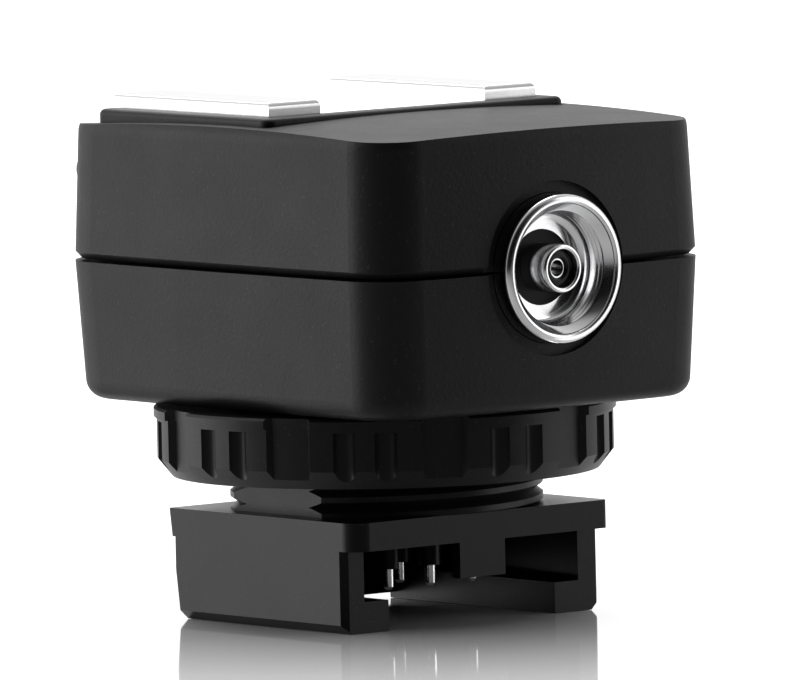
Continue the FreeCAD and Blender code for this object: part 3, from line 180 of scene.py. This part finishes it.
class Finish:
    """A material or a world, built node by node."""

    def __init__(self, owner):
        owner.use_nodes = True
        self.owner = owner
        self.tree = owner.node_tree
        self.tree.nodes.clear()

    def node(self, kind, settings=None, *values, **named):
        """Add a node: its settings first, then its inputs in order or by name."""
        node = self.tree.nodes.new(kind)
        for name, value in (settings or {}).items():
            if name == "stops":
                set_stops(node.color_ramp, value)
            else:
                setattr(node, name, value)
        for socket, value in zip(node.inputs, values):
            self.feed(socket, value)
        for name, value in named.items():
            self.feed(node.inputs[name.replace("_", " ")], value)
        return node

    def feed(self, socket, value):
        if isinstance(value, Signal):
            self.tree.links.new(value.socket, socket)
        elif isinstance(value, bpy.types.NodeSocket):
            self.tree.links.new(value, socket)
        elif isinstance(value, (tuple, list)) and len(value) < len(socket.default_value):
            socket.default_value = (*value, 1.0)
        else:
            socket.default_value = value

    def signal(self, node, output=0):
        return Signal(self, node.outputs[output])

    def place(self):
        """Where the surface is, in metres in the object's own frame."""
        return self.node("ShaderNodeTexCoord").outputs["Object"]

    def noise(self, scale, detail=2.0, vector=None, roughness=0.5):
        node = self.node("ShaderNodeTexNoise", None, Vector=vector or self.place(),
                         Scale=scale, Detail=detail, Roughness=roughness)
        return self.signal(node)

    def stretched(self, x, y, z):
        node = self.node("ShaderNodeVectorMath", {"operation": "MULTIPLY"},
                         self.place(), (x, y, z))
        return node.outputs[0]

    def mix(self, amount, first, second):
        node = self.node("ShaderNodeMix", {"data_type": "RGBA"})
        self.feed(node.inputs["Factor"], amount)
        self.feed(node.inputs[6], first)
        self.feed(node.inputs[7], second)
        return node.outputs[2]

    def bump(self, height, distance):
        node = self.node("ShaderNodeBump", None, Strength=1.0, Distance=distance)
        self.feed(node.inputs["Height"], height)
        return node.outputs[0]

    def surface(self, constants, **linked):
        """End the material in one Principled shader."""
        shader = self.node("ShaderNodeBsdfPrincipled")
        for name, value in constants.items():
            self.feed(shader.inputs[name], value)
        for name, value in linked.items():
            self.feed(shader.inputs[name.replace("_", " ")], value)
        self.node("ShaderNodeOutputMaterial", None, shader.outputs[0])
        return self.owner


def set_stops(ramp, stops):
    for element in list(ramp.elements)[1:]:
        ramp.elements.remove(element)
    ramp.elements[0].position, ramp.elements[0].color = stops[0]
    for position, shade in stops[1:]:
        ramp.elements.new(position).color = shade


def new_finish(name):
    return Finish(bpy.data.materials.new(name))


def scaled(shade, amount):
    return tuple(min(1.0, channel * amount) for channel in shade)


# ---- finishes ----

def moulded_plastic(name, shade, roughness, grain_size, grain_depth):
    """Black plastic: a fine spark grain, faint flow marks and slightly uneven gloss."""
    finish = new_finish(name)
    grain = finish.noise(1.0 / grain_size, 3.0, roughness=0.6)
    cloud = finish.noise(260.0, 3.0)
    dust = finish.noise(5200.0, 1.0)
    specks = ((dust - 0.69) * 14.0).clamped()
    tone = finish.mix(cloud, scaled(shade, 0.82), scaled(shade, 1.18))
    tone = finish.mix(specks * 0.10, tone, (0.16, 0.16, 0.16))
    gloss = (cloud - 0.5) * CLOUD_GLOSS + (grain - 0.5) * 0.08 + roughness
    return finish.surface(
        {"IOR": 1.46, "Specular IOR Level": 0.22},
        Base_Color=tone, Roughness=gloss.clamped(),
        Normal=finish.bump(grain, grain_depth))


def plated_metal(name, shade, roughness, brush=(1.0, 1.0, 1.0)):
    """Bright plated metal with faint polishing lines and slightly uneven gloss."""
    finish = new_finish(name)
    lines = finish.noise(900.0, 4.0, finish.stretched(*brush))
    cloud = finish.noise(380.0, 2.0)
    tone = finish.mix(cloud, scaled(shade, 0.93), scaled(shade, 1.04))
    gloss = (lines - 0.5) * 0.1 + (cloud - 0.5) * 0.06 + roughness
    return finish.surface(
        {"Metallic": 1.0, "IOR": 2.2},
        Base_Color=tone, Roughness=gloss.clamped(),
        Normal=finish.bump(lines, 0.0000016))


def board_laminate(name):
    """Green solder mask with paler copper tracks under it."""
    finish = new_finish(name)
    cells = finish.node("ShaderNodeTexVoronoi", {"feature": "DISTANCE_TO_EDGE"},
                        Vector=finish.place(), Scale=620.0)
    track = ((0.05 - finish.signal(cells)) * 40.0).clamped()
    tone = finish.mix(track, (0.012, 0.09, 0.035), (0.05, 0.22, 0.09))
    return finish.surface({"IOR": 1.5}, Base_Color=tone, Roughness=0.38 - track * 0.08,
                          Normal=finish.bump(track, 0.00003))


def give(node_names, material):
    """Put one material on CAD nodes."""
    for name in node_names:
        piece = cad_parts[name]
        piece.data.materials.clear()
        piece.data.materials.append(material)


# ---- mesh building ----

def turned(name, profile, segments=160):
    """A ring-shaped mesh from a closed (radius, height) profile about +Z, in metres."""
    mesh = bpy.data.meshes.new(name)
    shape = bmesh.new()
    rings = []
    for step in range(segments):
        angle = 2 * math.pi * step / segments
        rings.append([shape.verts.new((radius * math.cos(angle), radius * math.sin(angle), height))
                      for radius, height in profile])
    count = len(profile)
    for step, ring in enumerate(rings):
        after = rings[(step + 1) % segments]
        for index in range(count):
            following = (index + 1) % count
            face = shape.faces.new((ring[index], after[index], after[following],
                                    ring[following]))
            face.smooth = True
    bmesh.ops.recalc_face_normals(shape, faces=shape.faces)
    shape.to_mesh(mesh)
    shape.free()
    mesh.set_sharp_from_angle(angle=math.radians(34.0))
    return new_piece(name, mesh)


def arc(radius, height, size, start, end, steps=6):
    """Points of a circular arc in a turned profile, between two angles in degrees."""
    points = []
    for step in range(steps + 1):
        angle = math.radians(start + (end - start) * step / steps)
        points.append((radius + size * math.cos(angle), height + size * math.sin(angle)))
    return points


def sync_piece(name, profile, node, material):
    """A turned piece on the sync terminal's axis that stands for one CAD node."""
    piece = turned(name, [(radius * MM, height * MM) for radius, height in profile])
    piece.matrix_world = SYNC_AXIS
    piece.data.materials.append(material)
    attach(piece, "housing")
    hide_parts(node)
    return piece


def coil(name, x, y, bottom, top, radius, wire, turns):
    """A coil spring about an upright axis: one round wire with flat ends, in metres."""
    mesh = bpy.data.meshes.new(name)
    shape = bmesh.new()
    steps, sides = 28 * turns, 10
    rings = []
    for step in range(steps + 1):
        angle = 2 * math.pi * turns * step / steps
        height = bottom + wire + (top - bottom - 2 * wire) * step / steps
        ring = []
        for side in range(sides):
            around = 2 * math.pi * side / sides
            reach = radius + wire * math.cos(around)
            ring.append(shape.verts.new((x + reach * math.cos(angle), y + reach * math.sin(angle),
                                         height + wire * math.sin(around))))
        rings.append(ring)
    for ring, after in zip(rings, rings[1:]):
        for side in range(sides):
            following = (side + 1) % sides
            face = shape.faces.new((ring[side], ring[following], after[following], after[side]))
            face.smooth = True
    shape.faces.new(rings[0])
    shape.faces.new(rings[-1])
    bmesh.ops.recalc_face_normals(shape, faces=shape.faces)
    shape.to_mesh(mesh)
    shape.free()
    return new_piece(name, mesh)


def pin_coil(side, x, y, material):
    """The coil spring over one foot pin."""
    bottom, top = COIL_BOTTOM * MM, COIL_TOP * MM
    piece = coil(f"{side}_pin_coil", x * MM, y * MM, bottom, top, COIL_RADIUS * MM,
                 COIL_WIRE * MM, COIL_TURNS)
    piece.data.materials.append(material)
    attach(piece, "housing")
    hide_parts(f"pin_spring_{side}")
    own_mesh(piece)


def new_piece(name, mesh):
    piece = bpy.data.objects.new(name, mesh)
    bpy.context.scene.collection.objects.link(piece)
    return piece


def collar_profile():
    """The collar in section: rounded rim, flare, thread rings and a dished floor."""
    profile = [(2.31, -3.6), (4.55, -3.6), *arc(4.2, 0.45, 0.35, 0, 90),
               *arc(4.12, 0.62, 0.18, 90, 180)]
    profile += [(3.62, 0.28), (3.5, 0.2)]
    for ring in range(3):
        top = 0.1 - 0.36 * ring
        profile += [(3.5, top), (3.6, top - 0.12), (3.6, top - 0.18), (3.5, top - 0.3)]
    profile += [*arc(2.9, -0.95, 0.6, 0, -90, 10), (2.31, -1.55)]
    return profile


def tube_profile():
    """The terminal's inner tube in section, with a rounded rim."""
    return [(1.16, -4.0), (1.475, -4.0), *arc(1.355, 0.43, 0.12, 0, 90),
            *arc(1.27, 0.44, 0.11, 90, 180)]


def insulator_profile():
    """The insulator in section: a rounded face round the hole for a plug's centre pin."""
    return [(0.76, -4.0), (1.13, -4.0), *arc(1.03, 0.0, 0.1, 0, 90),
            *arc(0.72, 0.0, 0.12, 90, 180), (0.58, -0.04), (0.58, -0.19), (0.76, -0.19)]


# ---- operators ----

class FT_OT_housing(bpy.types.Operator):
    """Finish the two shells, the frame round the shoe and the test button"""
    bl_idname = "flash_trigger.housing"
    bl_label = "Housing"

    def execute(self, context):
        plastic = context.scene.ft_plastic
        shell = moulded_plastic("shell_plastic", plastic.shell_colour, plastic.shell_roughness,
                                plastic.grain_size, plastic.grain_depth)
        give(["upper_shell", "lower_shell", "shoe_frame", "test_button"], shell)
        return {"FINISHED"}


class FT_OT_ring_and_neck(bpy.types.Operator):
    """Finish the threaded neck, the locking ring and its washer"""
    bl_idname = "flash_trigger.ring_and_neck"
    bl_label = "Ring and neck"

    def execute(self, context):
        plastic = context.scene.ft_plastic
        ring = moulded_plastic("ring_plastic", plastic.ring_colour, plastic.ring_roughness,
                               plastic.grain_size * 1.5, plastic.grain_depth * 0.3)
        give(["lock_ring", "threaded_neck", "pressure_washer"], ring)
        return {"FINISHED"}


class FT_OT_foot(bpy.types.Operator):
    """Finish the camera foot, its pins and what carries them"""
    bl_idname = "flash_trigger.foot"
    bl_label = "Foot and pins"

    def execute(self, context):
        plastic = context.scene.ft_plastic
        metal = context.scene.ft_metal
        foot = moulded_plastic("foot_plastic", plastic.foot_colour, plastic.foot_roughness,
                               plastic.grain_size * 1.6, plastic.grain_depth * 0.25)
        give(["foot_block"], foot)
        carrier = moulded_plastic("insulator_plastic", scaled(plastic.foot_colour, 0.8),
                                  0.4, plastic.grain_size, plastic.grain_depth * 0.4)
        give(["pin_carrier", "shoe_contact_block", "sync_base_washer",
              "test_switch", "switch_plunger", "board_parts"], carrier)
        pins = plated_metal("contact_metal", metal.chrome_colour, metal.chrome_roughness)
        give([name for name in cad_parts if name.startswith(("contact_pin", "shoe_co"))
              and name != "shoe_contact_block"], pins)
        give(["sync_centre_contact"], pins)
        return {"FINISHED"}


class FT_OT_shoe(bpy.types.Operator):
    """Finish the bright shoe, its leaves, its screws, the pins' coils, the sync nut and the neck
    clamp
    """
    bl_idname = "flash_trigger.shoe"
    bl_label = "Shoe"

    def execute(self, context):
        metal = context.scene.ft_metal
        chrome = plated_metal("shoe_chrome", scaled(metal.chrome_colour, 0.8), 0.2,
                              brush=(1.0, 0.08, 1.0))
        give(["hot_shoe"], chrome)
        steel = plated_metal("plated_steel", metal.steel_colour, metal.steel_roughness)
        give([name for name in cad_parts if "screw" in name], steel)
        give(["shoe_leaf_springs"], steel)
        for side, (x, y) in PIN_PLACES.items():
            pin_coil(side, x, y, steel)
        give(["sync_nut", "neck_clamp"], steel)
        return {"FINISHED"}


class FT_OT_sync_terminal(bpy.types.Operator):
    """Turn the threaded sync terminal with its rounded rims, thread and dished floor"""
    bl_idname = "flash_trigger.sync_terminal"
    bl_label = "Sync terminal"

    def execute(self, context):
        metal = context.scene.ft_metal
        chrome = plated_metal("terminal_chrome", metal.chrome_colour, metal.chrome_roughness)
        sync_piece("sync_collar_turned", collar_profile(), "sync_collar",
                   chrome)
        sync_piece("sync_tube_turned", tube_profile(), "sync_tube", chrome)
        plastic = moulded_plastic("terminal_insulator", (0.004, 0.004, 0.004), 0.16,
                                  0.0003, 0.000001)
        sync_piece("sync_insulator_turned", insulator_profile(), "sync_insulator",
                   plastic)
        return {"FINISHED"}


class FT_OT_inside(bpy.types.Operator):
    """Finish the circuit board, its wires and its leads"""
    bl_idname = "flash_trigger.inside"
    bl_label = "Inside"

    def execute(self, context):
        metal = context.scene.ft_metal
        give(["circuit_board", "switch_card"], board_laminate("board_laminate"))
        give(["sync_leads"], plated_metal("lead_brass", metal.brass_colour, 0.3))
        give(["signal_wires"], moulded_plastic("wire_sleeve", (0.32, 0.02, 0.02), 0.4,
                                               0.0003, 0.000004))
        return {"FINISHED"}


class FT_OT_stage(bpy.types.Operator):
    """Make the table, the lamps, the world and the camera"""
    bl_idname = "flash_trigger.stage"
    bl_label = "Stage"

    def execute(self, context):
        studio = context.scene.ft_studio
        make_table(studio)
        make_world(context.scene)
        make_lamps(studio)
        make_camera(context.scene, studio)
        context.scene.view_settings.view_transform = "Standard"
        return {"FINISHED"}


def make_table(studio):
    """A glossy pale table top, level with the underside of the foot, with a painted glow for
    camera rays that rises away from the object and leaves a painted shadow round it.
    """
    mesh = bpy.data.meshes.new("table")
    shape = bmesh.new()
    bmesh.ops.create_circle(shape, cap_ends=True, radius=6.0, segments=96)
    shape.to_mesh(mesh)
    shape.free()
    table = new_piece("table", mesh)
    table.location.z = CAD_BOUNDS[0][2] - 0.00002
    finish = new_finish("table_gloss")
    # painted light: camera rays see a glow that grows with distance from the object, so the table
    # round the object shows a painted shadow
    rays = finish.node("ShaderNodeLightPath")
    near = finish.node("ShaderNodeVectorMath", {"operation": "LENGTH"}, finish.place())
    away = ((finish.signal(near, "Value") - studio.glow_start)
            * (1.0 / studio.glow_width)).clamped()
    glow = finish.mix(finish.signal(rays, "Is Camera Ray") * away, (0.0, 0.0, 0.0),
                      (studio.table_glow,) * 3)
    finish.surface({"Base Color": tuple(studio.floor_colour), "Roughness": 0.07,
                    "Metallic": studio.table_mirror, "Emission Strength": 1.0},
                   Emission_Color=glow)
    mesh.materials.append(finish.owner)


def make_world(scene):
    """A white studio behind and beside the object, with a dark room on the camera's side."""
    world = bpy.data.worlds.new("studio")
    scene.world = world
    finish = Finish(world)
    rays = finish.node("ShaderNodeLightPath")
    direction = finish.node("ShaderNodeTexCoord").outputs["Generated"]
    split = finish.node("ShaderNodeSeparateXYZ", None, direction)
    behind = (finish.signal(split, "X") * 0.18 + finish.signal(split, "Y") * 0.38 + 0.5).clamped()
    stops = [(0.0, (0.0, 0.0, 0.0, 1.0))]
    stops += [(place, (light, light, light, 1.0)) for place, light in STUDIO_WALLS]
    studio = finish.node("ShaderNodeValToRGB", {"stops": stops}, behind).outputs[0]
    ambient = finish.mix(finish.signal(rays, "Is Glossy Ray"), (0.30, 0.30, 0.30), studio)
    shade = finish.mix(finish.signal(rays, "Is Camera Ray"), ambient, (1.0, 1.0, 1.0))
    background = finish.node("ShaderNodeBackground", None, shade)
    finish.node("ShaderNodeOutputWorld", None, background.outputs[0])


def area_lamp(name, power, size, azimuth, elevation, distance):
    """A square lamp aimed at the object. Azimuth 0 is in front of it, 90 to its right."""
    lamp = bpy.data.lights.new(name, "AREA")
    lamp.energy = power
    lamp.shape = "RECTANGLE"
    lamp.size, lamp.size_y = size
    item = bpy.data.objects.new(name, lamp)
    bpy.context.scene.collection.objects.link(item)
    turn, tilt = math.radians(azimuth), math.radians(elevation)
    back = Vector((math.sin(turn) * math.cos(tilt), -math.cos(turn) * math.cos(tilt),
                   math.sin(tilt)))
    item.location = Vector((0, 0, 0.02)) + back * distance
    item.rotation_euler = back.to_track_quat("Z", "Y").to_euler()


def make_lamps(studio):
    area_lamp("left_lamp", studio.left_lamp, (0.5, 0.4), -140.0, 12.0, 0.6)
    area_lamp("right_lamp", studio.right_lamp, (0.3, 0.35), 52.0, 14.0, 0.6)
    area_lamp("top_lamp", studio.top_lamp, (0.6, 0.6), 150.0, 62.0, 0.7)


def make_camera(scene, studio):
    turn, tilt = math.radians(studio.view_azimuth), math.radians(studio.view_elevation)
    roll = math.radians(studio.view_roll)
    back = Vector((math.sin(turn) * math.cos(tilt), -math.cos(turn) * math.cos(tilt),
                   math.sin(tilt)))
    level = Vector((math.cos(turn), math.sin(turn), 0.0))
    above = back.cross(level)
    right = level * math.cos(roll) + above * math.sin(roll)
    upward = above * math.cos(roll) - level * math.sin(roll)
    target = level * studio.target_aside + Vector((0, 0, studio.target_height))
    data = bpy.data.cameras.new("camera")
    data.lens = studio.lens
    data.sensor_width = SENSOR_WIDTH
    data.sensor_fit = "HORIZONTAL"
    data.clip_end = 50.0
    camera = bpy.data.objects.new("camera", data)
    scene.collection.objects.link(camera)
    turned_matrix = Matrix((right, upward, back)).transposed().to_4x4()
    camera.matrix_world = Matrix.Translation(target + back * studio.view_distance) @ turned_matrix
    scene.camera = camera


class FT_PT_panel(bpy.types.Panel):
    """Lists the steps that finish the model"""
    bl_idname = "FT_PT_panel"
    bl_label = "Flash Trigger"
    bl_space_type = "VIEW_3D"
    bl_region_type = "UI"
    bl_category = "Flash Trigger"

    def draw(self, context):
        for operator in STEPS:
            self.layout.operator(operator.bl_idname)
        for settings in (context.scene.ft_plastic, context.scene.ft_metal,
                         context.scene.ft_studio):
            box = self.layout.box()
            for name in settings.__annotations__:
                box.prop(settings, name)


GROUPS = {"ft_plastic": PlasticSettings, "ft_metal": MetalSettings, "ft_studio": StudioSettings}
STEPS = (FT_OT_housing, FT_OT_ring_and_neck, FT_OT_foot, FT_OT_shoe, FT_OT_sync_terminal,
         FT_OT_inside, FT_OT_stage)


def register():
    for group in GROUPS.values():
        bpy.utils.register_class(group)
    for name, group in GROUPS.items():
        setattr(bpy.types.Scene, name, bpy.props.PointerProperty(type=group))
    for item in (*STEPS, FT_PT_panel):
        bpy.utils.register_class(item)


def unregister():
    for item in reversed((*STEPS, FT_PT_panel)):
        bpy.utils.unregister_class(item)
    for name, group in GROUPS.items():
        delattr(bpy.types.Scene, name)
        bpy.utils.unregister_class(group)


def main():
    register()
    bpy.ops.flash_trigger.housing()
    bpy.ops.flash_trigger.ring_and_neck()
    bpy.ops.flash_trigger.foot()
    bpy.ops.flash_trigger.shoe()
    bpy.ops.flash_trigger.sync_terminal()
    bpy.ops.flash_trigger.inside()
    bpy.ops.flash_trigger.stage()


if __name__ == "__main__":
    main()
